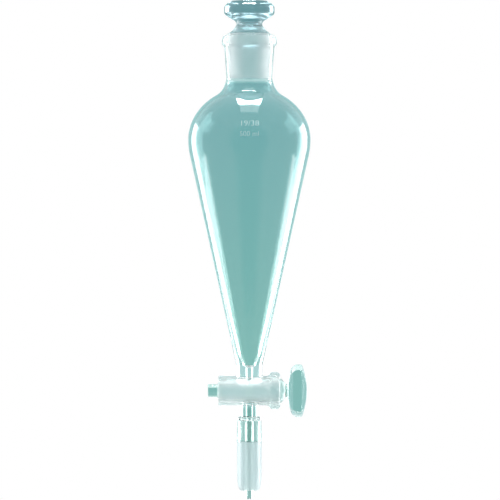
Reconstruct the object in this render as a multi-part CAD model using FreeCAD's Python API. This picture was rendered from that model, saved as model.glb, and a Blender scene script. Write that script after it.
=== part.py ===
"""Dropping funnel, 500 ml, with stoppered neck, glass stopcock and ground lower joint.

Writes one STEP file for each section into parts/.  Millimetres, +Z up.  The origin is the
centre of the ground cone's upper (large) end; +X runs along the stopcock towards its handle.
"""

import FreeCAD
import Part
import math
import os

# ---- heights above the gauge plane of the ground cone ---------------------------------------
Z_DRIP_END = -43.8
Z_CONE_END = -37.0
Z_CAVITY_TOP = 18.6
Z_SEAL = 21.0
Z_TAP = 41.2
Z_BULB_FOOT = 61.5
Z_BULB_WIDE = 238.5
Z_NECK_FOOT = 283.3
Z_LIP = 320.8
Z_STOPPER_WAIST = 329.7
Z_STOPPER_TOP = 347.5

# ---- pear bulb ------------------------------------------------------------------------------
BULB_R = 48.1
SHOULDER_H = 41.7
BULB_WALL = 2.3
BELLY_R = 54.1
CONE_ANGLE = 12.5
CAVITY_ANGLE = 13.46
Z_CAVITY_BEND = 75.0
FOOT_MOUTH_R = 4.0
SHOULDER_BLEND_Z = 273.6
CAVITY_BLEND_Z = 271.5

# ---- neck socket and stopper (34.5 mm large end, taper 1 in 10 on diameter) -----------------
NECK_LARGE_R = 17.25
NECK_GROUND_LEN = 35.0
TAPER = 0.05
NECK_FOOT_R = 18.9
NECK_FOOT_BORE_R = 16.5
NECK_LIP_R = 21.7
STOPPER_GAP = 0.06
STOPPER_END_LIFT = 1.2
STOPPER_WALL = 3.6
STOPPER_CAVITY_TOP = 314.0
STOPPER_WAIST_R = 9.9
HEAD_R = 19.8
HEAD_TOP_R = 15.6

# ---- bore through the tap and tubes ---------------------------------------------------------
BORE_R = 2.0

# ---- stopcock: barrel and key about a line parallel to X ------------------------------------
BARREL_X0 = -24.3
BARREL_X1 = 24.1
BARREL_R = 11.5
BEAD_R = 14.6
KEY_MID_R = 8.7
KEY_GAP = 0.05
KEY_TIP_X = -32.6
KEY_TIP_R = 5.0
KEY_NECK_R = 5.2
KEY_NECK_X = 30.2
HANDLE_R = 20.6
HANDLE_DEPTH = 24.0
HANDLE_EDGE = 4.0

# ---- outlet tube, stem, drip tube and ground cone -------------------------------------------
OUTLET_R = 10.1
STEM_R = 6.5
DRIP_R = 3.4
JOINT_NECK_R = 9.35
JOINT_TOP_R = 9.85
JOINT_LOW_R = 9.5
JOINT_BORE_R = 7.6

# ---- enamel marks on the front of the bulb --------------------------------------------------
MARK_T = 0.15
MARK_HALF_W = 7.4
MARKS = {
    "size_mark": (247.8, 252.0),
    "capacity_mark": (239.8, 243.8),
}

V = FreeCAD.Vector
UP = V(0, 0, 1)
ALONG = V(1, 0, 0)


def line(a, b):
    """Straight edge between two (r, z) points in the XZ plane."""
    return Part.makeLine(V(a[0], 0, a[1]), V(b[0], 0, b[1]))


def arc(a, m, b):
    """Circular edge through three (r, z) points."""
    points = [V(p[0], 0, p[1]) for p in (a, m, b)]
    return Part.Arc(*points).toShape()


def shoulder(radius, height, z_low, z_high):
    """Part of the quarter ellipse that forms the shoulder, from z_low up to z_high."""
    centre = V(0, 0, Z_BULB_WIDE)
    ellipse = Part.Ellipse(centre + V(radius, 0, 0), centre + V(0, 0, height), centre)
    low = math.asin((z_low - Z_BULB_WIDE) / height)
    high = math.asin((z_high - Z_BULB_WIDE) / height)
    edge = Part.ArcOfEllipse(ellipse, low, high).toShape()
    ends = [(radius * math.cos(t), Z_BULB_WIDE + height * math.sin(t)) for t in (low, high)]
    return edge, ends[0], ends[1]


def belly(radius, angle):
    """Arc under the widest level: its middle and the point where the straight cone starts."""
    centre = BULB_R - BELLY_R
    points = []
    for part in (0.5, 1.0):
        turn = math.radians(angle * part)
        points.append((centre + radius * math.cos(turn), Z_BULB_WIDE - radius * math.sin(turn)))
    return points


def down_cone(start, angle, z):
    """Radius reached at height z on a cone of this half-angle from a start point."""
    return start[0] - (start[1] - z) * math.tan(math.radians(angle))


def chain(points):
    """Straight edges through a list of points."""
    return [line(a, b) for a, b in zip(points[:-1], points[1:])]


def lathe(edges, axis=UP, centre=V(0, 0, 0)):
    """Solid turned from a closed outline."""
    wire = Part.Wire(Part.__sortEdges__(edges))
    return Part.Face(wire).revolve(centre, axis, 360)


def lathe_x(points):
    """Solid turned about the stopcock's line from (x, r) points; the outline closes itself."""
    corners = [V(x, 0, Z_TAP + r) for x, r in points]
    corners.append(corners[0])
    face = Part.Face(Part.makePolygon(corners))
    return face.revolve(V(0, 0, Z_TAP), ALONG, 360)


def rod(radius, z0, z1):
    """Upright cylinder on the centre line."""
    return Part.makeCylinder(radius, z1 - z0, V(0, 0, z0), UP)


def bore_r(x):
    """Radius of the ground bore of the barrel at x."""
    return KEY_MID_R + TAPER * x


def neck_r(z):
    """Radius of the ground bore of the neck at height z."""
    return NECK_LARGE_R - TAPER * (Z_LIP - z)


def pear_bulb():
    """Blown bulb: elliptical shoulder, round belly, long cone with a wall that thickens."""
    top, top_low, top_high = shoulder(BULB_R, SHOULDER_H, Z_BULB_WIDE, SHOULDER_BLEND_Z)
    mid, tangent = belly(BELLY_R, CONE_ANGLE)
    foot = (down_cone(tangent, CONE_ANGLE, Z_BULB_FOOT), Z_BULB_FOOT)
    in_r = BULB_R - BULB_WALL
    in_top, in_low, in_high = shoulder(in_r, SHOULDER_H - BULB_WALL, Z_BULB_WIDE, CAVITY_BLEND_Z)
    in_mid, in_tangent = belly(BELLY_R - BULB_WALL, CAVITY_ANGLE)
    bend = (down_cone(in_tangent, CAVITY_ANGLE, Z_CAVITY_BEND), Z_CAVITY_BEND)
    edges = [
        arc((NECK_FOOT_R, Z_NECK_FOOT), (20.9, 278.5), top_high),
        top,
        arc(top_low, mid, tangent),
        line(tangent, foot),
        line(foot, (FOOT_MOUTH_R, Z_BULB_FOOT)),
        line((FOOT_MOUTH_R, Z_BULB_FOOT), (FOOT_MOUTH_R, Z_BULB_FOOT + 1.5)),
        arc((FOOT_MOUTH_R, Z_BULB_FOOT + 1.5), (6.3, 68.0), bend),
        line(bend, in_tangent),
        arc(in_tangent, in_mid, in_low),
        in_top,
        arc(in_high, (18.9, 277.2), (NECK_FOOT_BORE_R, Z_NECK_FOOT)),
        line((NECK_FOOT_BORE_R, Z_NECK_FOOT), (NECK_FOOT_R, Z_NECK_FOOT)),
    ]
    return lathe(edges)


def neck_socket():
    """Ground socket with a rolled lip, standing on the bulb."""
    ground_low = Z_LIP - NECK_GROUND_LEN
    edges = [
        arc((NECK_FOOT_R, Z_NECK_FOOT), (18.3, 285.2), (18.0, 288.0)),
        line((18.0, 288.0), (19.6, 309.6)),
        arc((19.6, 309.6), (20.1, 312.0), (21.1, 313.3)),
        arc((21.1, 313.3), (NECK_LIP_R, 316.2), (20.9, 319.2)),
        arc((20.9, 319.2), (19.8, 320.4), (18.6, Z_LIP)),
        line((18.6, Z_LIP), (NECK_LARGE_R, Z_LIP)),
        line((NECK_LARGE_R, Z_LIP), (neck_r(ground_low), ground_low)),
        line((neck_r(ground_low), ground_low), (NECK_FOOT_BORE_R, Z_NECK_FOOT)),
        line((NECK_FOOT_BORE_R, Z_NECK_FOOT), (NECK_FOOT_R, Z_NECK_FOOT)),
    ]
    return lathe(edges)


def stopper_plug():
    """Ground plug of the stopper, hollow from below, with a domed shoulder and a waist."""
    low = Z_LIP - NECK_GROUND_LEN + STOPPER_END_LIFT
    high = Z_LIP + 1.0
    low_r = neck_r(low) - STOPPER_GAP
    high_r = neck_r(high) - STOPPER_GAP
    cavity_low_r = low_r - STOPPER_WALL
    cavity_top_r = neck_r(STOPPER_CAVITY_TOP) - STOPPER_GAP - STOPPER_WALL - 3.0
    cavity_side = (cavity_top_r + 2.8, STOPPER_CAVITY_TOP - 4.0)
    dome_mid = (STOPPER_WAIST_R + 2.7, 325.4)
    edges = [
        line((low_r - 0.8, low), (low_r, low + 0.8)),
        line((low_r, low + 0.8), (high_r, high)),
        arc((high_r, high), dome_mid, (STOPPER_WAIST_R, Z_STOPPER_WAIST)),
        line((STOPPER_WAIST_R, Z_STOPPER_WAIST), (0, Z_STOPPER_WAIST)),
        line((0, Z_STOPPER_WAIST), (0, STOPPER_CAVITY_TOP)),
        line((0, STOPPER_CAVITY_TOP), (cavity_top_r, STOPPER_CAVITY_TOP)),
        arc((cavity_top_r, STOPPER_CAVITY_TOP), (cavity_top_r + 2.0, STOPPER_CAVITY_TOP - 1.2),
            cavity_side),
        line(cavity_side, (cavity_low_r, low)),
        line((cavity_low_r, low), (low_r - 0.8, low)),
    ]
    return lathe(edges)


def stopper_head():
    """Solid pressed head: a thick round disc with a wide bevel above and below."""
    edges = [
        line((0, Z_STOPPER_WAIST), (STOPPER_WAIST_R, Z_STOPPER_WAIST)),
        arc((STOPPER_WAIST_R, Z_STOPPER_WAIST), (10.7, 331.3), (13.3, 333.3)),
        line((13.3, 333.3), (18.9, 337.0)),
        arc((18.9, 337.0), (19.5, 337.8), (HEAD_R, 339.0)),
        line((HEAD_R, 339.0), (HEAD_R, 342.6)),
        arc((HEAD_R, 342.6), (19.5, 343.6), (18.9, 344.3)),
        line((18.9, 344.3), (16.6, 346.8)),
        arc((16.6, 346.8), (16.2, 347.3), (HEAD_TOP_R, Z_STOPPER_TOP)),
        line((HEAD_TOP_R, Z_STOPPER_TOP), (0, Z_STOPPER_TOP)),
        line((0, Z_STOPPER_TOP), (0, Z_STOPPER_WAIST)),
    ]
    return lathe(edges)


def barrel_outside():
    """Solid outer shape of the stopcock barrel."""
    return lathe_x([
        (BARREL_X0, 0),
        (BARREL_X0, 10.9),
        (BARREL_X0 + 0.8, 11.7),
        (BARREL_X0 + 3.5, 11.7),
        (BARREL_X0 + 6.0, BARREL_R),
        (13.2, BARREL_R),
        (15.4, 12.3),
        (16.8, 13.9),
        (18.0, BEAD_R),
        (21.6, BEAD_R),
        (23.2, 13.9),
        (BARREL_X1, 12.4),
        (BARREL_X1, 0),
    ])


def stopcock_barrel():
    """Barrel with its ground taper bore and the two ports."""
    x0 = BARREL_X0 - 1
    x1 = BARREL_X1 + 1
    taper = Part.makeCone(bore_r(x0), bore_r(x1), x1 - x0, V(x0, 0, Z_TAP), ALONG)
    ports = rod(BORE_R, Z_TAP - 16, Z_TAP + 16)
    return barrel_outside().cut(taper).cut(ports)


def outlet_tube():
    """Heavy tube that carries the barrel under the bulb."""
    edges = chain([
        (BORE_R, Z_TAP),
        (OUTLET_R, Z_TAP),
        (OUTLET_R, Z_BULB_FOOT),
        (FOOT_MOUTH_R, Z_BULB_FOOT),
        (BORE_R, Z_BULB_FOOT - 2.0),
        (BORE_R, Z_TAP),
    ])
    return lathe(edges).cut(barrel_outside())


def stem():
    """Tube from the barrel down to the ring seal."""
    edges = chain([
        (BORE_R, Z_SEAL),
        (STEM_R, Z_SEAL),
        (STEM_R, Z_TAP - BARREL_R - 1.0),
        (STEM_R + 0.9, Z_TAP - BARREL_R + 1.2),
        (STEM_R + 0.9, Z_TAP),
        (BORE_R, Z_TAP),
        (BORE_R, Z_SEAL),
    ])
    return lathe(edges).cut(barrel_outside())


def ground_cone():
    """Outer ground joint, sealed to the stem by its shoulder."""
    edges = [
        line((DRIP_R, Z_SEAL), (STEM_R, Z_SEAL)),
        arc((STEM_R, Z_SEAL), (8.7, 20.0), (JOINT_NECK_R, 17.8)),
        line((JOINT_NECK_R, 17.8), (JOINT_TOP_R, 1.2)),
        line((JOINT_TOP_R, 1.2), (JOINT_TOP_R - 0.05, 0)),
        line((JOINT_TOP_R - 0.05, 0), (JOINT_LOW_R, -28.0)),
        arc((JOINT_LOW_R, -28.0), (8.95, -32.6), (7.5, Z_CONE_END)),
        line((7.5, Z_CONE_END), (6.1, Z_CONE_END)),
        arc((6.1, Z_CONE_END), (7.25, -33.0), (JOINT_BORE_R, -28.0)),
        line((JOINT_BORE_R, -28.0), (JOINT_BORE_R, Z_CAVITY_TOP - 1.6)),
        arc((JOINT_BORE_R, Z_CAVITY_TOP - 1.6), (7.1, Z_CAVITY_TOP - 0.5), (6.0, Z_CAVITY_TOP)),
        line((6.0, Z_CAVITY_TOP), (DRIP_R, Z_CAVITY_TOP)),
        line((DRIP_R, Z_CAVITY_TOP), (DRIP_R, Z_SEAL)),
    ]
    return lathe(edges)


def drip_tube():
    """Inner tube that hangs through the cone and ends below it."""
    edges = chain([
        (BORE_R, Z_DRIP_END),
        (DRIP_R - 0.5, Z_DRIP_END),
        (DRIP_R, Z_DRIP_END + 0.6),
        (DRIP_R, Z_SEAL),
        (BORE_R, Z_SEAL),
        (BORE_R, Z_DRIP_END),
    ])
    return lathe(edges)


def key_plug():
    """Ground key: tapered plug with a cross bore, a small end and a neck."""
    large = 24.3
    small = BARREL_X0 + 0.4
    plug = lathe_x([
        (KEY_TIP_X, 0),
        (KEY_TIP_X, KEY_TIP_R - 0.7),
        (KEY_TIP_X + 0.7, KEY_TIP_R),
        (BARREL_X0 - 1.0, KEY_TIP_R),
        (small, bore_r(small) - KEY_GAP - 0.8),
        (small + 0.8, bore_r(small + 0.8) - KEY_GAP),
        (large, bore_r(large) - KEY_GAP),
        (25.4, 9.2),
        (27.6, 6.3),
        (29.0, KEY_NECK_R),
        (KEY_NECK_X, KEY_NECK_R),
        (KEY_NECK_X, 0),
    ])
    return plug.cut(rod(BORE_R, Z_TAP - 15, Z_TAP + 15))


def key_handle():
    """Pressed thumb-piece: a domed disc with its two sides cut flat."""
    disc = lathe_x([
        (KEY_NECK_X, 0),
        (KEY_NECK_X, KEY_NECK_R),
        (31.0, 10.5),
        (32.6, 16.4),
        (35.4, 19.8),
        (37.2, HANDLE_R),
        (40.4, HANDLE_R),
        (41.9, 19.0),
        (43.6, 13.2),
        (44.7, 8.6),
        (45.2, 4.0),
        (45.2, 0),
    ])
    box = Part.makeBox(30, HANDLE_DEPTH, 60, V(25, -HANDLE_DEPTH / 2, Z_TAP - 30))
    upright = [e for e in box.Edges if abs(e.BoundBox.ZLength - 60) < 1e-6]
    return disc.common(box.makeChamfer(HANDLE_EDGE, upright))


def enamel(z_low, z_high):
    """Thin enamel field on the shoulder, centred on the front."""
    inner, a, b = shoulder(BULB_R, SHOULDER_H, z_low, z_high)
    outer, c, d = shoulder(BULB_R + MARK_T, SHOULDER_H + MARK_T, z_low, z_high)
    wire = Part.Wire(Part.__sortEdges__([inner, line(b, d), outer, line(a, c)]))
    half = math.degrees(MARK_HALF_W / a[0])
    patch = Part.Face(wire).revolve(V(0, 0, 0), UP, 2 * half)
    patch.rotate(V(0, 0, 0), UP, -90 - half)
    return patch


def build():
    """Every section by name."""
    parts = {
        "pear_bulb": pear_bulb(),
        "neck_socket": neck_socket(),
        "outlet_tube": outlet_tube(),
        "stopcock_barrel": stopcock_barrel(),
        "stem": stem(),
        "ground_cone": ground_cone(),
        "drip_tube": drip_tube(),
        "stopper_plug": stopper_plug(),
        "stopper_head": stopper_head(),
        "key_plug": key_plug(),
        "key_handle": key_handle(),
    }
    for name, (z_low, z_high) in MARKS.items():
        parts[name] = enamel(z_low, z_high)
    return parts


def main():
    os.makedirs("parts", exist_ok=True)
    for name, shape in build().items():
        if shape.ShapeType != "Solid":
            shape = shape.Solids[0]
        if shape.Volume < 0:
            shape.reverse()
        print(name, shape.isValid(), round(shape.Volume, 1), shape.BoundBox)
        shape.exportStep(f"parts/{name}.step")


main()
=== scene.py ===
"""Looks of a 500 ml glass dropping funnel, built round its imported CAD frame.

Every piece of glass is turned from its half section, as a glassblower's lathe would, and the
sections of the fused funnel meet at seams that light passes without bending.  Lengths are in
millimetres until a mesh is made; the scene itself is in metres, +Z up, +X along the stopcock.
"""

import logging
import math
from dataclasses import dataclass, field, replace
from enum import Enum

import bpy
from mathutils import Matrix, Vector

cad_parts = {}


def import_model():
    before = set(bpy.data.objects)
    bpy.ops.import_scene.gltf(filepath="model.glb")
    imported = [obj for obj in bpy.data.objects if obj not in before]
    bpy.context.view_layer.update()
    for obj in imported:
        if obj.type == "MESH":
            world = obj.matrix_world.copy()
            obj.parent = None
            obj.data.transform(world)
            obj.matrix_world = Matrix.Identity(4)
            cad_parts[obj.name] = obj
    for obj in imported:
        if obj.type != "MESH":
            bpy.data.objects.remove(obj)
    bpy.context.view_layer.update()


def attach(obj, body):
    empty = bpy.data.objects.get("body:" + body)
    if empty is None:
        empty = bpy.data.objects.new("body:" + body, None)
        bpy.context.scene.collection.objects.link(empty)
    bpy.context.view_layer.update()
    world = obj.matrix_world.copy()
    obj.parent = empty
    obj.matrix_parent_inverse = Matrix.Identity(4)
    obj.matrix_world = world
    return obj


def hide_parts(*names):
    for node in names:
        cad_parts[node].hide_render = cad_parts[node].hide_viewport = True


LOG = logging.getLogger("dropping_funnel")
MM = 0.001

# Sizes that more than one piece shares, in millimetres.
TAP_Z = 41.2
TAPER = 0.05
PASSAGE = 2.0
SEAL_Z = 21.0
STEM_RADIUS = 6.5
BULB_FOOT_Z = 61.5
BULB_MOUTH = 4.0
BULB_TOP_Z = 283.3
BULB_TOP_RADIUS = 18.9
BULB_TOP_BORE = 16.5
LIP_Z = 320.8
NECK_BORE = 17.25
NECK_GROUND = 35.0
TAP_BORE = 8.7
BARREL_LEFT = -24.3

FINE_SHARE = 0.35
GRAIN_SHARE = 0.2
MERGE_GAP = 0.002
SENSOR_WIDTH = 36.0

Pair = tuple[float, float]
Colour = tuple[float, float, float]


# ---------------------------------------------------------------------------------------------
# Finishes
# ---------------------------------------------------------------------------------------------
class Zone(Enum):
    """What a stretch of a glass surface is; the value is its material slot."""

    CLEAR = 0
    GROUND = 1
    SEAM = 2


def surface_grain() -> bpy.types.NodeTree:
    """The shared unevenness group: a height and a mask from two scales of noise.

    Returns:
        The node group, made once and reused.
    """
    name = "surface_grain"
    if name in bpy.data.node_groups:
        return bpy.data.node_groups[name]
    group = bpy.data.node_groups.new(name, "ShaderNodeTree")
    sockets = group.interface
    sockets.new_socket("Vector", in_out="INPUT", socket_type="NodeSocketVector")
    sockets.new_socket("Coarse", in_out="INPUT", socket_type="NodeSocketFloat")
    sockets.new_socket("Fine", in_out="INPUT", socket_type="NodeSocketFloat")
    sockets.new_socket("Height", in_out="OUTPUT", socket_type="NodeSocketFloat")
    sockets.new_socket("Mask", in_out="OUTPUT", socket_type="NodeSocketFloat")
    nodes = group.nodes
    links = group.links
    start = nodes.new("NodeGroupInput")
    end = nodes.new("NodeGroupOutput")
    coarse = nodes.new("ShaderNodeTexNoise")
    coarse.inputs["Detail"].default_value = 1.0
    fine = nodes.new("ShaderNodeTexNoise")
    fine.inputs["Detail"].default_value = 3.0
    blend = nodes.new("ShaderNodeMix")
    blend.inputs["Factor"].default_value = FINE_SHARE
    for noise, scale in ((coarse, "Coarse"), (fine, "Fine")):
        links.new(start.outputs["Vector"], noise.inputs["Vector"])
        links.new(start.outputs[scale], noise.inputs["Scale"])
    links.new(coarse.outputs["Fac"], blend.inputs["A"])
    links.new(fine.outputs["Fac"], blend.inputs["B"])
    links.new(blend.outputs["Result"], end.inputs["Height"])
    links.new(fine.outputs["Fac"], end.inputs["Mask"])
    return group


def colour_mix(tree: bpy.types.NodeTree, first: Colour, second: Colour) -> bpy.types.Node:
    """Adds a node that mixes two colours; its factor is linked by the caller.

    Args:
        tree: the node tree.
        first: colour at factor 0, linear.
        second: colour at factor 1, linear.

    Returns:
        The node. Its colours are inputs 6 and 7 and its result is output 2.
    """
    node = tree.nodes.new("ShaderNodeMix")
    node.data_type = "RGBA"
    node.inputs[6].default_value = (*first, 1.0)
    node.inputs[7].default_value = (*second, 1.0)
    return node


@dataclass(frozen=True)
class Finish:
    """A glass or enamel surface.

    Attributes:
        name: name of the material.
        light: base colour low down and where the surface is cleanest, linear.
        deep: base colour high up, linear.
        rise: heights between which the colour drifts from light to deep, in metres.
        roughness: lowest and highest roughness.
        transmission: how much light goes through.
        coarse: scale of the slow unevenness, in cycles a metre.
        fine: scale of the fine unevenness.
        bump: how strongly the unevenness bends the surface.
        bump_depth: height of the unevenness in metres.
        ior: index of refraction.
        alpha: 0 for a seam inside fused glass.
    """

    name: str
    light: Colour
    deep: Colour
    rise: Pair = (-0.05, 0.35)
    roughness: Pair = (0.0, 0.03)
    transmission: float = 1.0
    coarse: float = 18.0
    fine: float = 90.0
    bump: float = 0.05
    bump_depth: float = 0.0004
    ior: float = 1.47
    alpha: float = 1.0

    def material(self) -> bpy.types.Material:
        """Builds the node material, once.

        Returns:
            The material.
        """
        if self.name in bpy.data.materials:
            return bpy.data.materials[self.name]
        made = bpy.data.materials.new(self.name)
        made.use_nodes = True
        nodes = made.node_tree.nodes
        links = made.node_tree.links
        shader = nodes["Principled BSDF"]
        shader.inputs["Transmission Weight"].default_value = self.transmission
        shader.inputs["IOR"].default_value = self.ior
        shader.inputs["Alpha"].default_value = self.alpha
        place = nodes.new("ShaderNodeTexCoord")
        grain = nodes.new("ShaderNodeGroup")
        grain.node_tree = surface_grain()
        grain.inputs["Coarse"].default_value = self.coarse
        grain.inputs["Fine"].default_value = self.fine
        links.new(place.outputs["Object"], grain.inputs["Vector"])
        height = nodes.new("ShaderNodeSeparateXYZ")
        links.new(place.outputs["Object"], height.inputs["Vector"])
        drift = nodes.new("ShaderNodeMapRange")
        drift.inputs["From Min"].default_value = self.rise[0]
        drift.inputs["From Max"].default_value = self.rise[1]
        links.new(height.outputs["Z"], drift.inputs["Value"])
        mixed = nodes.new("ShaderNodeMix")
        mixed.inputs["Factor"].default_value = GRAIN_SHARE
        links.new(drift.outputs["Result"], mixed.inputs["A"])
        links.new(grain.outputs["Mask"], mixed.inputs["B"])
        colour = colour_mix(made.node_tree, self.light, self.deep)
        links.new(mixed.outputs["Result"], colour.inputs["Factor"])
        links.new(colour.outputs[2], shader.inputs["Base Color"])
        rough = nodes.new("ShaderNodeMapRange")
        rough.inputs["To Min"].default_value = self.roughness[0]
        rough.inputs["To Max"].default_value = self.roughness[1]
        links.new(grain.outputs["Mask"], rough.inputs["Value"])
        links.new(rough.outputs["Result"], shader.inputs["Roughness"])
        bump = nodes.new("ShaderNodeBump")
        bump.inputs["Strength"].default_value = self.bump
        bump.inputs["Distance"].default_value = self.bump_depth
        links.new(grain.outputs["Height"], bump.inputs["Height"])
        links.new(bump.outputs["Normal"], shader.inputs["Normal"])
        return made


# The glass is clear. The teal in these base colours is painted: it is the teal backdrop seen
# through the glass, laid into the glass's own colour. On the bulb, the drift from greener low
# down to bluer high up paints the same backdrop.
BLOWN_GLASS = Finish(
    "blown_glass",
    (0.66, 0.825, 0.79),
    (0.60, 0.75, 0.77),
    rise=(0.08, 0.28),
    roughness=(0.03, 0.09),
    fine=40.0,
    bump=0.02,
)
NECK_GLASS = Finish("neck_glass", (0.88, 0.94, 0.93), (0.94, 0.97, 0.97))
TAP_GLASS = Finish("tap_glass", (0.58, 0.72, 0.69), (0.96, 0.98, 0.98), rise=(0.026, 0.032))
CONE_GLASS = Finish("cone_glass", (0.82, 0.88, 0.86), (0.79, 0.86, 0.84))
DRIP_GLASS = Finish("drip_glass", (0.78, 0.83, 0.81), (0.76, 0.82, 0.79))
KEY_GLASS = Finish("key_glass", (0.54, 0.72, 0.68), (0.50, 0.69, 0.64), bump=0.12)
# Painted: a paler copy of the thumb-piece's glass for its domed rim, which paints the pale look
# its rounded edges have in the light. The flats keep KEY_GLASS's teal.
RIM_GLASS = Finish("rim_glass", (0.84, 0.92, 0.91), (0.80, 0.90, 0.89), bump=0.12)
# Painted: one glass in two copies, almost clear for the plug and dark teal above the lip. The
# dark teal paints the deeper look of the backdrop seen through the thick pressed head.
STOPPER_GLASS = Finish(
    "stopper_glass", (0.90, 0.95, 0.95), (0.21, 0.35, 0.40), rise=(0.3195, 0.3225), bump=0.12
)
GROUND_FACE = Finish(
    "ground_face",
    (0.98, 0.985, 0.985),
    (0.93, 0.95, 0.955),
    roughness=(0.45, 0.6),
    transmission=1.0,
    coarse=400.0,
    fine=2600.0,
    bump=0.25,
    bump_depth=0.00005,
)
CONE_FACE = replace(
    GROUND_FACE,
    name="cone_face",
    light=(0.87, 0.93, 0.95),
    deep=(0.84, 0.92, 0.94),
    transmission=0.55,
)
FUSED_SEAM = Finish("fused_seam", (1.0, 1.0, 1.0), (1.0, 1.0, 1.0), bump=0.0, alpha=0.0)
ENAMEL = Finish(
    "white_enamel",
    (0.62, 0.72, 0.73),
    (0.50, 0.62, 0.64),
    roughness=(0.45, 0.6),
    transmission=0.0,
    coarse=900.0,
    fine=4000.0,
    bump=0.2,
    bump_depth=0.00003,
    ior=1.5,
)


# ---------------------------------------------------------------------------------------------
# Half sections and the lathe
# ---------------------------------------------------------------------------------------------
@dataclass
class Outline:
    """Half section of a turned piece, point by point, with the zone of every stretch.

    Attributes:
        start: first point, in millimetres.
        pitch: longest straight stretch left undivided.
        arc_step: most degrees between two points of a curve.
    """

    start: Pair
    pitch: float = 4.0
    arc_step: float = 5.0
    points: list[Pair] = field(default_factory=list)
    zones: list[Zone] = field(default_factory=list)

    def __post_init__(self) -> None:
        """Begins the path at its start."""
        self.points.append(self.start)

    def add(self, point: Pair, zone: Zone) -> None:
        """Appends one point."""
        self.points.append(point)
        self.zones.append(zone)

    def line(self, end: Pair, zone: Zone = Zone.CLEAR) -> "Outline":
        """Goes straight to a point.

        Args:
            end: where the stretch ends.
            zone: what its surface is.

        Returns:
            The outline, for the next stretch.
        """
        begin = self.points[-1]
        parts = max(1, math.ceil(math.dist(begin, end) / self.pitch))
        for part in range(1, parts + 1):
            share = part / parts
            self.add(tuple(a + (b - a) * share for a, b in zip(begin, end)), zone)
        return self

    def arc(self, through: Pair, end: Pair, zone: Zone = Zone.CLEAR) -> "Outline":
        """Follows the circle through the last point, a middle point and an end.

        Args:
            through: a point of the arc.
            end: where it ends.
            zone: what its surface is.

        Returns:
            The outline, for the next stretch.
        """
        begin = self.points[-1]
        centre = circle_centre(begin, through, end)
        radius = math.dist(centre, begin)
        first, middle, last = (
            math.atan2(p[1] - centre[1], p[0] - centre[0]) for p in (begin, through, end)
        )
        forward = (last - first) % math.tau
        if (middle - first) % math.tau > forward:
            forward -= math.tau
        parts = max(2, math.ceil(abs(math.degrees(forward)) / self.arc_step))
        for part in range(1, parts + 1):
            angle = first + forward * part / parts
            self.add(
                (centre[0] + radius * math.cos(angle), centre[1] + radius * math.sin(angle)), zone
            )
        return self

    def ellipse(
        self, semi: Pair, level: float, low: float, high: float, zone: Zone = Zone.CLEAR
    ) -> "Outline":
        """Follows a quarter ellipse centred on the centre line.

        Args:
            semi: its radius and its height.
            level: height of its widest level.
            low: angle that the stretch starts at, in radians.
            high: angle that it ends at.
            zone: what its surface is.

        Returns:
            The outline, for the next stretch.
        """
        parts = max(2, math.ceil(abs(math.degrees(high - low)) / (self.arc_step * 0.5)))
        for part in range(1, parts + 1):
            angle = low + (high - low) * part / parts
            self.add((semi[0] * math.cos(angle), level + semi[1] * math.sin(angle)), zone)
        return self


def circle_centre(a: Pair, b: Pair, c: Pair) -> Pair:
    """Finds the centre of the circle through three points.

    Args:
        a: first point.
        b: second point.
        c: third point.

    Returns:
        The centre.
    """
    twice = 2 * (a[0] * (b[1] - c[1]) + b[0] * (c[1] - a[1]) + c[0] * (a[1] - b[1]))
    squares = [p[0] ** 2 + p[1] ** 2 for p in (a, b, c)]
    x = squares[0] * (b[1] - c[1]) + squares[1] * (c[1] - a[1]) + squares[2] * (a[1] - b[1])
    y = squares[0] * (c[0] - b[0]) + squares[1] * (a[0] - c[0]) + squares[2] * (b[0] - a[0])
    return x / twice, y / twice


class Axis(Enum):
    """The two lines that pieces are turned about."""

    UPRIGHT = (0.0, 0.0, 1.0)
    ALONG_TAP = (1.0, 0.0, 0.0)

    def place(self, pair: Pair) -> Vector:
        """Puts a half-section point in the scene.

        Args:
            pair: (radius, height) on the centre line, (x, radius) on the stopcock's line.

        Returns:
            The point in metres.
        """
        if self is Axis.UPRIGHT:
            return Vector((pair[0], 0.0, pair[1])) * MM
        return Vector((pair[0], 0.0, TAP_Z + pair[1])) * MM

    def pair(self, point: Vector) -> Pair:
        """Finds the half-section point that a point of the mesh belongs to.

        Args:
            point: a point of the mesh, in metres.

        Returns:
            The half-section point, in millimetres.
        """
        if self is Axis.UPRIGHT:
            return math.hypot(point.x, point.y) / MM, point.z / MM
        return point.x / MM, math.hypot(point.y, point.z - TAP_Z * MM) / MM


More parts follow.
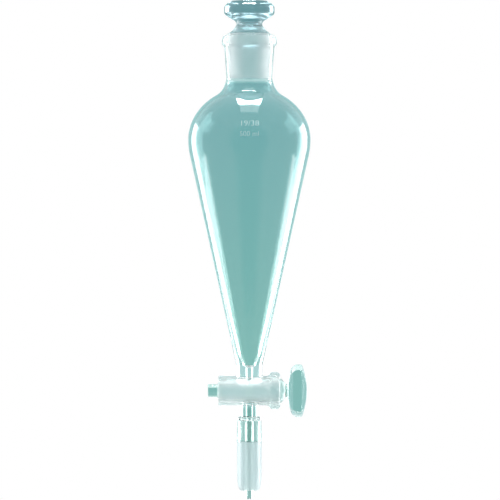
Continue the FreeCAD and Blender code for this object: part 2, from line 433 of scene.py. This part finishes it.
@dataclass(frozen=True)
class Lathe:
    """Turns half sections into closed meshes.

    Attributes:
        axis: the line that it turns about.
        steps: facets in a full turn.
    """

    axis: Axis = Axis.UPRIGHT
    steps: int = 144

    def turn(self, name: str, outline: Outline) -> bpy.types.Object:
        """Extrudes the outline from a point and spins it.

        Args:
            name: name of the piece.
            outline: its half section, closed on itself or ending on the axis.

        Returns:
            The piece, with its material indices set by zone.
        """
        places = [self.axis.place(p) for p in outline.points]
        bpy.ops.object.select_all(action="DESELECT")
        bpy.ops.mesh.primitive_plane_add(size=MM, location=(0, 0, 0))
        piece = bpy.context.object
        piece.name = name
        piece.data.name = name
        bpy.ops.object.mode_set(mode="EDIT")
        bpy.ops.mesh.select_all(action="SELECT")
        bpy.ops.mesh.merge(type="CENTER")
        bpy.ops.transform.translate(value=places[0])
        for here, there in zip(places[:-1], places[1:]):
            bpy.ops.mesh.extrude_region_move(TRANSFORM_OT_translate={"value": there - here})
        bpy.ops.mesh.select_all(action="SELECT")
        centre = self.axis.place((0.0, 0.0))
        bpy.ops.mesh.spin(steps=self.steps, angle=math.tau, center=centre, axis=self.axis.value)
        bpy.ops.mesh.select_all(action="SELECT")
        bpy.ops.mesh.remove_doubles(threshold=MERGE_GAP * MM)
        bpy.ops.mesh.normals_make_consistent(inside=False)
        bpy.ops.object.mode_set(mode="OBJECT")
        self.mark_zones(piece, outline)
        return piece

    def mark_zones(self, piece: bpy.types.Object, outline: Outline) -> None:
        """Gives every face the zone of the outline's stretch that it was turned from.

        Args:
            piece: the turned mesh.
            outline: the half section that it was turned from.
        """
        for _ in Zone:
            piece.data.materials.append(None)
        middles = [
            ((a[0] + b[0]) / 2, (a[1] + b[1]) / 2)
            for a, b in zip(outline.points[:-1], outline.points[1:])
        ]
        for face in piece.data.polygons:
            pairs = [self.axis.pair(piece.data.vertices[v].co) for v in face.vertices]
            corners = sorted(set((round(p[0], 3), round(p[1], 3)) for p in pairs))
            middle = tuple(sum(c[i] for c in corners) / len(corners) for i in (0, 1))
            nearest = min(range(len(middles)), key=lambda i: math.dist(middles[i], middle))
            face.material_index = outline.zones[nearest].value


UPRIGHT_LATHE = Lathe()
TAP_LATHE = Lathe(Axis.ALONG_TAP)


def only(piece: bpy.types.Object) -> None:
    """Selects one object and makes it the active one.

    Args:
        piece: the object.
    """
    bpy.ops.object.select_all(action="DESELECT")
    piece.select_set(True)
    bpy.context.view_layer.objects.active = piece


def combine(piece: bpy.types.Object, tool: bpy.types.Object, operation: str) -> None:
    """Joins a solid to a piece or cuts it away, and removes the tool.

    Args:
        piece: what is changed.
        tool: the closed mesh that is added or taken.
        operation: UNION or DIFFERENCE.
    """
    only(piece)
    modifier = piece.modifiers.new("shape", "BOOLEAN")
    modifier.operation = operation
    modifier.solver = "EXACT"
    modifier.object = tool
    bpy.ops.object.modifier_apply(modifier=modifier.name)
    bpy.data.objects.remove(tool)


def polish(piece: bpy.types.Object, degrees: float = 32.0) -> None:
    """Shades a piece smooth, with creases where it turns sharply."""
    only(piece)
    bpy.ops.object.shade_smooth_by_angle(angle=math.radians(degrees))


def settle(
    piece: bpy.types.Object, body: str, nodes: tuple[str, ...], finishes: list[Finish]
) -> None:
    """Dresses a finished piece and ties it to the frame.

    Args:
        piece: the mesh.
        body: the body that it rides on.
        nodes: the CAD nodes that it stands for.
        finishes: a finish for each material slot of the mesh.
    """
    for index, finish in enumerate(finishes):
        piece.data.materials[index] = finish.material()
    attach(piece, body)
    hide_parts(*nodes)
    LOG.info("%s: %d faces on %s", piece.name, len(piece.data.polygons), body)


# ---------------------------------------------------------------------------------------------
# The fused funnel
# ---------------------------------------------------------------------------------------------
@dataclass
class Bulb:
    """The pear-shaped bulb: elliptical shoulder, round belly and a long cone."""

    widest: float = 48.1
    level: float = 238.5
    shoulder: float = 41.7
    wall: float = 2.3
    belly: float = 54.1
    cone: float = 12.5
    cavity_cone: float = 13.46
    bend: float = 75.0
    shoulder_joint: float = 273.6
    cavity_joint: float = 271.5
    foot: float = BULB_FOOT_Z
    mouth: float = BULB_MOUTH
    top: float = BULB_TOP_Z
    top_radius: float = BULB_TOP_RADIUS
    top_bore: float = BULB_TOP_BORE

    def shoulder_angle(self, height: float, z: float) -> float:
        """Angle on the shoulder's ellipse at height z."""
        return math.asin((z - self.level) / height)

    def belly_end(self, radius: float, degrees: float) -> Pair:
        """Finds where an arc under the widest level has turned by an angle.

        Args:
            radius: radius of the arc.
            degrees: how far it has turned.

        Returns:
            The point.
        """
        turn = math.radians(degrees)
        return (
            self.widest - self.belly + radius * math.cos(turn),
            self.level - radius * math.sin(turn),
        )

    def outline(self) -> Outline:
        """Half section: down the outside, then up the cavity.

        Returns:
            The half section, closed at the seams under and over it.
        """
        high = self.shoulder_angle(self.shoulder, self.shoulder_joint)
        joint = (self.widest * math.cos(high), self.shoulder_joint)
        tangent = self.belly_end(self.belly, self.cone)
        drop = math.tan(math.radians(self.cone)) * (tangent[1] - self.foot)
        inner = (self.widest - self.wall, self.shoulder - self.wall)
        in_belly = self.belly - self.wall
        in_high = self.shoulder_angle(inner[1], self.cavity_joint)
        in_tangent = self.belly_end(in_belly, self.cavity_cone)
        in_drop = math.tan(math.radians(self.cavity_cone)) * (in_tangent[1] - self.bend)
        path = Outline((self.top_radius, self.top))
        path.arc((20.9, 278.5), joint)
        path.ellipse((self.widest, self.shoulder), self.level, high, 0.0)
        path.arc(self.belly_end(self.belly, self.cone / 2), tangent)
        path.line((tangent[0] - drop, self.foot))
        path.line((self.mouth, self.foot), Zone.SEAM)
        path.line((self.mouth, self.foot + 1.5))
        path.arc((6.3, 68.0), (in_tangent[0] - in_drop, self.bend))
        path.line(in_tangent)
        path.arc(self.belly_end(in_belly, self.cavity_cone / 2), (inner[0], self.level))
        path.ellipse(inner, self.level, 0.0, in_high)
        path.arc((18.9, 277.2), (self.top_bore, self.top))
        path.line((self.top_radius, self.top), Zone.SEAM)
        return path

    def build(self) -> None:
        """Turns and dresses the bulb, whose thin wall lets the top light down to the tap."""
        piece = UPRIGHT_LATHE.turn("blown_bulb", self.outline())
        polish(piece)
        piece.visible_shadow = False
        settle(piece, "funnel", ("pear_bulb",),
               [BLOWN_GLASS, GROUND_FACE, FUSED_SEAM])


@dataclass
class Neck:
    """The ground neck with its rolled lip."""

    foot: float = BULB_TOP_Z
    foot_radius: float = BULB_TOP_RADIUS
    foot_bore: float = BULB_TOP_BORE
    lip: float = LIP_Z
    bore: float = NECK_BORE
    ground: float = NECK_GROUND

    def outline(self) -> Outline:
        """Half section: up the outside, over the lip and down the ground bore.

        Returns:
            The half section.
        """
        low = self.lip - self.ground
        path = Outline((self.foot_radius, self.foot))
        path.arc((18.3, 285.2), (18.0, 288.0))
        path.line((19.6, 309.6))
        path.arc((20.1, 312.0), (21.1, 313.3))
        path.arc((21.7, 316.2), (20.9, 319.2))
        path.arc((19.8, 320.4), (18.6, self.lip))
        path.line((self.bore, self.lip))
        path.line((self.bore - TAPER * self.ground, low), Zone.GROUND)
        path.line((self.foot_bore, self.foot))
        path.line((self.foot_radius, self.foot), Zone.SEAM)
        return path

    def build(self) -> None:
        """Turns and dresses the neck."""
        piece = UPRIGHT_LATHE.turn("ground_neck", self.outline())
        polish(piece)
        settle(piece, "funnel", ("neck_socket",),
               [NECK_GLASS, GROUND_FACE, FUSED_SEAM])


@dataclass
class Stopcock:
    """The barrel with its two arms, made as one solid and then bored."""

    left: float = BARREL_LEFT
    right: float = 24.1
    radius: float = 11.5
    bead: float = 14.6
    bore_mid: float = TAP_BORE
    port: float = PASSAGE
    arm: float = 10.1
    arm_top: float = BULB_FOOT_Z
    mouth: float = BULB_MOUTH
    stem: float = STEM_RADIUS
    seal: float = SEAL_Z

    def barrel(self) -> bpy.types.Object:
        """The solid barrel with a bead round its large end.

        Returns:
            The solid, not yet bored.
        """
        path = Outline((self.left, 0.0), pitch=2.0)
        path.line((self.left, 10.9)).arc((self.left + 0.25, 11.5), (self.left + 0.8, 11.7))
        path.line((self.left + 3.5, 11.7)).line((self.left + 6.0, self.radius))
        path.line((13.2, self.radius)).arc((15.4, 12.3), (16.6, 13.7))
        path.arc((17.2, 14.3), (18.2, self.bead)).line((21.4, self.bead))
        path.arc((23.0, 13.9), (self.right, 12.3)).line((self.right, 0.0))
        return TAP_LATHE.turn("stopcock_glass", path)

    def arms(self) -> list[bpy.types.Object]:
        """The heavy upper arm and the slim stem, as solids that reach into the barrel.

        Returns:
            The two solids.
        """
        upper = Outline((0.0, TAP_Z + 9.0), pitch=2.0)
        upper.line((self.arm + 0.9, TAP_Z + 9.0)).line((self.arm + 0.6, TAP_Z + 10.4))
        upper.arc((self.arm + 0.15, TAP_Z + 12.0), (self.arm, TAP_Z + 14.0))
        upper.line((self.arm, self.arm_top)).line((0.0, self.arm_top), Zone.SEAM)
        lower = Outline((0.0, self.seal), pitch=2.0)
        lower.line((self.stem, self.seal), Zone.SEAM).line((self.stem, TAP_Z - 13.2))
        lower.arc((self.stem + 0.2, TAP_Z - 11.6), (self.stem + 1.0, TAP_Z - 10.2))
        lower.line((self.stem + 1.0, TAP_Z - 9.5)).line((0.0, TAP_Z - 9.5))
        return [UPRIGHT_LATHE.turn("arm", upper), UPRIGHT_LATHE.turn("arm", lower)]

    def cutters(self) -> list[bpy.types.Object]:
        """The ground taper bore and the passage through both arms.

        Returns:
            The solids to cut away.
        """
        x0 = self.left - 1.0
        x1 = self.right + 1.0
        taper = Outline((x0, 0.0), pitch=2.0)
        taper.line((x0, self.bore_mid + TAPER * x0), Zone.GROUND)
        taper.line((x1, self.bore_mid + TAPER * x1), Zone.GROUND).line((x1, 0.0), Zone.GROUND)
        upper = Outline((0.0, TAP_Z), pitch=2.0)
        upper.line((self.port, TAP_Z)).line((self.port, self.arm_top - 2.0))
        upper.line((self.mouth, self.arm_top)).line((self.mouth, self.arm_top + 1.0))
        upper.line((0.0, self.arm_top + 1.0))
        lower = Outline((0.0, self.seal - 1.0), pitch=2.0)
        lower.line((self.port, self.seal - 1.0)).line((self.port, TAP_Z)).line((0.0, TAP_Z))
        return [
            TAP_LATHE.turn("taper", taper),
            UPRIGHT_LATHE.turn("passage", upper),
            UPRIGHT_LATHE.turn("passage", lower),
        ]

    def build(self) -> None:
        """Joins, bores and dresses the stopcock's glass."""
        piece = self.barrel()
        for arm in self.arms():
            combine(piece, arm, "UNION")
        for cutter in self.cutters():
            combine(piece, cutter, "DIFFERENCE")
        polish(piece)
        settle(piece, "funnel", ("stopcock_barrel", "outlet_tube", "stem"),
               [TAP_GLASS, GROUND_FACE, FUSED_SEAM])


@dataclass
class LowerJoint:
    """The ground cone, ring-sealed to the stem, and the drip tube that hangs through it."""

    seal: float = SEAL_Z
    stem: float = STEM_RADIUS
    drip: float = 3.4
    port: float = PASSAGE
    cavity: float = 18.6
    bore: float = 7.6
    top: float = 9.85
    low: float = 9.5
    end: float = -37.0
    tip: float = -43.8

    def cone(self) -> Outline:
        """Half section of the cone: down the outside, up the cavity.

        Returns:
            The half section.
        """
        path = Outline((self.drip, self.seal))
        path.line((self.stem, self.seal), Zone.SEAM)
        path.arc((8.7, 20.0), (9.35, 17.8))
        path.line((self.top, 1.2)).line((self.top - 0.05, 0.0), Zone.GROUND)
        path.line((self.low, -28.0), Zone.GROUND)
        path.arc((8.95, -32.6), (7.5, self.end), Zone.GROUND)
        path.line((6.1, self.end))
        path.arc((7.25, -33.0), (self.bore, -28.0))
        path.line((self.bore, self.cavity - 1.6))
        path.arc((7.1, self.cavity - 0.5), (6.0, self.cavity))
        path.line((self.drip, self.cavity)).line((self.drip, self.seal), Zone.SEAM)
        return path

    def tube(self) -> Outline:
        """Half section of the drip tube.

        Returns:
            The half section.
        """
        path = Outline((self.port, self.tip))
        path.line((self.drip - 0.5, self.tip)).arc(
            (self.drip - 0.15, self.tip + 0.15), (self.drip, self.tip + 0.6)
        )
        path.line((self.drip, self.cavity)).line((self.drip, self.seal), Zone.SEAM)
        path.line((self.port, self.seal), Zone.SEAM).line((self.port, self.tip))
        return path

    def build(self) -> None:
        """Turns and dresses both tubes."""
        cone = UPRIGHT_LATHE.turn("lower_cone", self.cone())
        tube = UPRIGHT_LATHE.turn("inner_drip_tube", self.tube())
        for piece in (cone, tube):
            polish(piece)
        settle(cone, "funnel", ("ground_cone",),
               [CONE_GLASS, CONE_FACE, FUSED_SEAM])
        settle(tube, "funnel", ("drip_tube",),
               [DRIP_GLASS, GROUND_FACE, FUSED_SEAM])


@dataclass
class Mark:
    """A line of fired enamel numbers that follows the shoulder."""

    name: str
    node: str
    text: str
    low: float
    high: float
    half_width: float = 7.4
    thick: float = 0.12

    def build(self, bulb: Bulb) -> None:
        """Writes the numbers flat, makes them a mesh and lays them on the glass.

        Args:
            bulb: the glass that the mark lies on.
        """
        bpy.ops.object.select_all(action="DESELECT")
        bpy.ops.object.text_add(location=(0, 0, 0))
        letters = bpy.context.object
        letters.data.body = self.text
        letters.data.align_x = "CENTER"
        letters.data.align_y = "CENTER"
        letters.data.extrude = 0.5
        letters.data.offset = -0.012
        bpy.ops.object.convert(target="MESH")
        piece = bpy.context.object
        piece.name = self.name
        bpy.ops.object.mode_set(mode="EDIT")
        bpy.ops.mesh.select_all(action="SELECT")
        bpy.ops.mesh.remove_doubles(threshold=0.0005)
        bpy.ops.mesh.normals_make_consistent(inside=False)
        bpy.ops.object.mode_set(mode="OBJECT")
        self.lay(piece, bulb)
        piece.data.materials.clear()
        piece.data.materials.append(None)
        settle(piece, "funnel", (self.node,), [ENAMEL])

    def lay(self, piece: bpy.types.Object, bulb: Bulb) -> None:
        """Bends the flat letters round the bulb and over its shoulder.

        Args:
            piece: the letters, flat.
            bulb: the glass that they lie on.
        """
        points = [v.co for v in piece.data.vertices]
        wide = max(abs(p.x) for p in points)
        low = min(p.y for p in points)
        high = max(p.y for p in points)
        deep = max(p.z for p in points)
        for vertex in piece.data.vertices:
            across = vertex.co.x / wide * self.half_width
            z = self.low + (self.high - self.low) * (vertex.co.y - low) / (high - low)
            level = (z - bulb.level) / bulb.shoulder
            radius = bulb.widest * math.sqrt(1 - level * level)
            radius += 0.01 + self.thick * (vertex.co.z + deep) / (2 * deep)
            turn = across / radius
            place = Vector((radius * math.sin(turn), -radius * math.cos(turn), z))
            vertex.co = place * MM


# ---------------------------------------------------------------------------------------------
# The stopper and the key
# ---------------------------------------------------------------------------------------------
@dataclass
class Stopper:
    """The ground stopper: a hollow plug and a solid pressed head."""

    lip: float = LIP_Z
    bore: float = NECK_BORE
    ground: float = NECK_GROUND
    gap: float = 0.06
    lift: float = 1.2
    wall: float = 3.6
    cavity: float = 314.0
    waist: float = 9.9
    waist_z: float = 329.7
    head: float = 19.8
    head_top: float = 15.6
    top: float = 347.5

    def taper(self, z: float) -> float:
        """Radius of the plug at height z."""
        return self.bore - TAPER * (self.lip - z) - self.gap

    def plug(self) -> Outline:
        """Half section of the plug, from its lower rim round to its cavity.

        Returns:
            The half section.
        """
        low = self.lip - self.ground + self.lift
        high = self.lip + 1.0
        roof = self.taper(self.cavity) - self.wall - 3.0
        path = Outline((self.taper(low) - 0.8, low))
        path.line((self.taper(low), low + 0.8)).line((self.taper(high), high), Zone.GROUND)
        path.arc((self.waist + 2.7, 325.4), (self.waist, self.waist_z))
        path.line((0.0, self.waist_z), Zone.SEAM)
        path.line((0.0, self.cavity), Zone.SEAM)
        path.line((roof, self.cavity)).arc(
            (roof + 2.0, self.cavity - 1.2), (roof + 2.8, self.cavity - 4.0)
        )
        path.line((self.taper(low) - self.wall, low)).line((self.taper(low) - 0.8, low))
        return path

    def disc(self) -> Outline:
        """Half section of the head.

        Returns:
            The half section.
        """
        path = Outline((0.0, self.waist_z))
        path.line((self.waist, self.waist_z), Zone.SEAM)
        path.arc((10.7, 331.3), (13.3, 333.3)).line((18.9, 337.0))
        path.arc((19.5, 337.8), (self.head, 339.0)).line((self.head, 342.6))
        path.arc((19.5, 343.6), (18.9, 344.3)).line((16.6, 346.8))
        path.arc((16.2, 347.3), (self.head_top, self.top)).line((0.0, self.top))
        return path

    def build(self) -> None:
        """Turns and dresses both halves."""
        for name, node, slot, path in (
            ("stopper_plug_glass", "stopper_plug", "ground_glass", self.plug()),
            ("stopper_head_glass", "stopper_head", "clear_glass", self.disc()),
        ):
            piece = UPRIGHT_LATHE.turn(name, path)
            polish(piece)
            settle(piece, "stopper", (node,), [STOPPER_GLASS, GROUND_FACE, FUSED_SEAM])


@dataclass
class Key:
    """The turning key: ground plug with a cross bore, and its pressed thumb-piece."""

    mid: float = TAP_BORE
    gap: float = 0.05
    left: float = BARREL_LEFT
    tip_x: float = -32.6
    tip: float = 5.0
    neck: float = 5.2
    neck_x: float = 30.2
    end_x: float = 45.2
    port: float = PASSAGE
    disc: float = 20.6
    depth: float = 24.0
    edge: float = 4.0

    def plug(self) -> bpy.types.Object:
        """The ground plug with its small end and its neck, bored across.

        Returns:
            The plug.
        """
        small = self.left + 0.4
        taper = self.mid - self.gap
        path = Outline((self.tip_x, 0.0), pitch=2.0)
        path.line((self.tip_x, self.tip - 0.7)).arc(
            (self.tip_x + 0.2, self.tip - 0.2), (self.tip_x + 0.7, self.tip)
        )
        path.line((self.left - 1.0, self.tip))
        path.line((small, taper + TAPER * small - 0.8))
        path.line((small + 0.8, taper + TAPER * (small + 0.8)))
        path.line((24.3, taper + TAPER * 24.3), Zone.GROUND)
        path.line((25.4, 9.2)).line((27.6, 6.3)).arc((28.6, 5.4), (self.neck_x, self.neck))
        path.line((self.neck_x, 0.0), Zone.SEAM)
        piece = TAP_LATHE.turn("key_glass", path)
        bore = Outline((0.0, TAP_Z - 15.0), pitch=2.0)
        bore.line((self.port, TAP_Z - 15.0)).line((self.port, TAP_Z + 15.0))
        bore.line((0.0, TAP_Z + 15.0))
        combine(piece, UPRIGHT_LATHE.turn("bore", bore), "DIFFERENCE")
        return piece

    def thumb_piece(self) -> bpy.types.Object:
        """The domed disc, cut flat on two sides.

        Returns:
            The thumb-piece.
        """
        path = Outline((self.neck_x, 0.0), pitch=2.0)
        path.line((self.neck_x, self.neck), Zone.SEAM)
        path.arc((30.7, 8.8), (32.6, 16.4)).arc((33.8, 18.6), (35.4, 19.8))
        path.arc((36.3, 20.3), (37.2, self.disc)).line((40.4, self.disc))
        path.arc((41.3, 20.1), (41.9, 19.0)).arc((43.8, 12.6), (44.9, 6.5))
        path.arc((45.15, 3.2), (self.end_x, 0.0))
        piece = TAP_LATHE.turn("thumb_piece", path)
        bpy.ops.object.mode_set(mode="EDIT")
        flat = self.depth / 2
        planes = []
        for side in (-1, 1):
            planes.append(((0, side * flat, TAP_Z), (0, side, 0)))
            for way in (-1, 1):
                planes.append(
                    ((self.end_x if way > 0 else self.neck_x, side * (flat - self.edge), TAP_Z),
                     (way, side, 0))
                )
        for point, normal in planes:
            bpy.ops.mesh.select_all(action="SELECT")
            bpy.ops.mesh.bisect(
                plane_co=Vector(point) * MM,
                plane_no=Vector(normal).normalized(),
                use_fill=True,
                clear_outer=True,
            )
        bpy.ops.object.mode_set(mode="OBJECT")
        for face in piece.data.polygons:
            if abs(face.normal.y) > 0.99:
                # The two flats take the second slot, which is clear on this piece.
                face.material_index = Zone.GROUND.value
        return piece

    def build(self) -> None:
        """Makes and dresses the key."""
        plug = self.plug()
        thumb = self.thumb_piece()
        for piece in (plug, thumb):
            polish(piece)
        settle(plug, "stopcock_key", ("key_plug",),
               [KEY_GLASS, GROUND_FACE, FUSED_SEAM])
        # The rim takes the paler copy of the same glass, a painted pale edge.
        settle(thumb, "stopcock_key", ("key_handle",),
               [RIM_GLASS, KEY_GLASS, FUSED_SEAM])


# ---------------------------------------------------------------------------------------------
# Studio
# ---------------------------------------------------------------------------------------------
@dataclass(frozen=True)
class Softbox:
    """A soft rectangular light.

    Attributes:
        name: its name.
        place: where it hangs, in metres.
        size: its width and height.
        watts: its power.
    """

    name: str
    place: tuple[float, float, float]
    size: Pair
    watts: float

    def build(self, target: Vector) -> None:
        """Hangs the light and turns it to the target.

        Args:
            target: the point that it faces.
        """
        lamp = bpy.data.lights.new(self.name, "AREA")
        lamp.shape = "RECTANGLE"
        lamp.size = self.size[0]
        lamp.size_y = self.size[1]
        lamp.energy = self.watts
        holder = bpy.data.objects.new(self.name, lamp)
        bpy.context.scene.collection.objects.link(holder)
        holder.location = self.place
        aim = target - Vector(self.place)
        holder.rotation_euler = aim.to_track_quat("-Z", "Y").to_euler()
        holder.visible_camera = False


@dataclass
class Studio:
    """White page, soft lights, a pale floor and a long lens level with the funnel.

    Attributes:
        frame_height: height of the view at the funnel, in metres.
        distance: how far the camera stands.
        aim: the point that the camera and the lights face.
        floor_z: level of the floor.
        floor_radius: its radius.
        floor_colour: its colour, linear.
        floor_roughness: its roughness.
        bounces: most bounces of light, enough for rays trapped in thick glass.
        page: what the camera sees behind the funnel.
        surround: what the glass sees at its sides, above and below.
        sheet: what the glass sees in front and behind.
        sheet_edge: share of the way to front or back where the sheet begins and is full.
        lights: the lamps.
    """

    frame_height: float = 0.3935
    distance: float = 2.4
    aim: Vector = field(default_factory=lambda: Vector((0.0005, 0.0, 0.1519)))
    floor_z: float = -0.16
    floor_radius: float = 0.55
    floor_colour: Colour = (0.66, 0.68, 0.68)
    floor_roughness: float = 0.7
    bounces: int = 24
    page: Colour = (1.0, 1.0, 1.0)
    surround: Colour = (0.81, 0.895, 0.905)
    sheet: Colour = (0.42, 0.68, 0.68)
    sheet_edge: Pair = (0.72, 0.90)
    lights: tuple[Softbox, ...] = (
        Softbox("top_box", (0.0, 0.12, 1.05), (0.38, 0.32), 11.0),
        Softbox("front_top_box", (0.0, -0.20, 1.05), (0.38, 0.30), 0.7),
        Softbox("left_box", (-0.86, 0.70, 0.05), (0.40, 1.1), 6.0),
        Softbox("right_box", (0.88, 0.66, 0.05), (0.52, 1.1), 7.0),
        Softbox("low_left_box", (-1.07, 0.30, -0.32), (0.46, 0.55), 2.4),
        Softbox("low_right_box", (1.07, 0.30, -0.32), (0.46, 0.55), 2.4),
    )

    def world(self) -> None:
        """Shows the camera a white page, and the glass a pale surround with a teal sheet."""
        scene = bpy.context.scene
        world = bpy.data.worlds.new("surround")
        scene.world = world
        world.use_nodes = True
        nodes = world.node_tree.nodes
        links = world.node_tree.links
        place = nodes.new("ShaderNodeTexCoord")
        along = nodes.new("ShaderNodeSeparateXYZ")
        links.new(place.outputs["Generated"], along.inputs["Vector"])
        facing = nodes.new("ShaderNodeMath")
        facing.operation = "ABSOLUTE"
        links.new(along.outputs["Y"], facing.inputs[0])
        sheet = nodes.new("ShaderNodeMapRange")
        sheet.interpolation_type = "SMOOTHSTEP"
        sheet.inputs["From Min"].default_value = self.sheet_edge[0]
        sheet.inputs["From Max"].default_value = self.sheet_edge[1]
        links.new(facing.outputs["Value"], sheet.inputs["Value"])
        ray = nodes.new("ShaderNodeLightPath")
        seen_by_glass = colour_mix(world.node_tree, self.surround, self.sheet)
        links.new(sheet.outputs["Result"], seen_by_glass.inputs["Factor"])
        seen = colour_mix(world.node_tree, self.surround, self.page)
        links.new(seen_by_glass.outputs[2], seen.inputs[6])
        links.new(ray.outputs["Is Camera Ray"], seen.inputs["Factor"])
        links.new(seen.outputs[2], nodes["Background"].inputs["Color"])
        scene.view_settings.view_transform = "Standard"
        scene.cycles.max_bounces = self.bounces
        scene.cycles.transmission_bounces = self.bounces
        scene.cycles.glossy_bounces = self.bounces
        scene.cycles.diffuse_bounces = self.bounces // 2
        scene.cycles.transparent_max_bounces = self.bounces

    def floor(self) -> None:
        """A pale round floor well under the funnel."""
        bpy.ops.object.select_all(action="DESELECT")
        bpy.ops.mesh.primitive_circle_add(
            vertices=96, radius=self.floor_radius, fill_type="NGON", location=(0, 0, self.floor_z)
        )
        floor = bpy.context.object
        floor.name = "floor"
        pale = bpy.data.materials.new("pale_floor")
        pale.use_nodes = True
        shader = pale.node_tree.nodes["Principled BSDF"]
        shader.inputs["Base Color"].default_value = (*self.floor_colour, 1.0)
        shader.inputs["Roughness"].default_value = self.floor_roughness
        floor.data.materials.append(pale)

    def camera(self) -> None:
        """A level camera in front of the funnel."""
        data = bpy.data.cameras.new("camera")
        data.sensor_width = SENSOR_WIDTH
        data.lens = SENSOR_WIDTH * self.distance / self.frame_height
        camera = bpy.data.objects.new("camera", data)
        bpy.context.scene.collection.objects.link(camera)
        camera.location = self.aim + Vector((0.0, -self.distance, 0.0))
        camera.rotation_euler = (math.radians(90.0), 0.0, 0.0)
        bpy.context.scene.camera = camera

    def build(self) -> None:
        """Sets the whole studio."""
        self.world()
        self.floor()
        self.camera()
        for light in self.lights:
            light.build(self.aim)


def main() -> None:
    """Builds the funnel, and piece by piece."""
    logging.basicConfig(level=logging.INFO, format="%(name)s: %(message)s")
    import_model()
    bulb = Bulb()
    bulb.build()
    Neck().build()
    Stopcock().build()
    LowerJoint().build()
    Mark("joint_numbers", "size_mark", "19/38", 247.9, 251.9).build(bulb)
    Mark("volume_numbers", "capacity_mark", "500 ml", 239.9, 243.6).build(bulb)
    Stopper().build()
    Key().build()
    Studio().build()


if __name__ == "__main__":
    main()
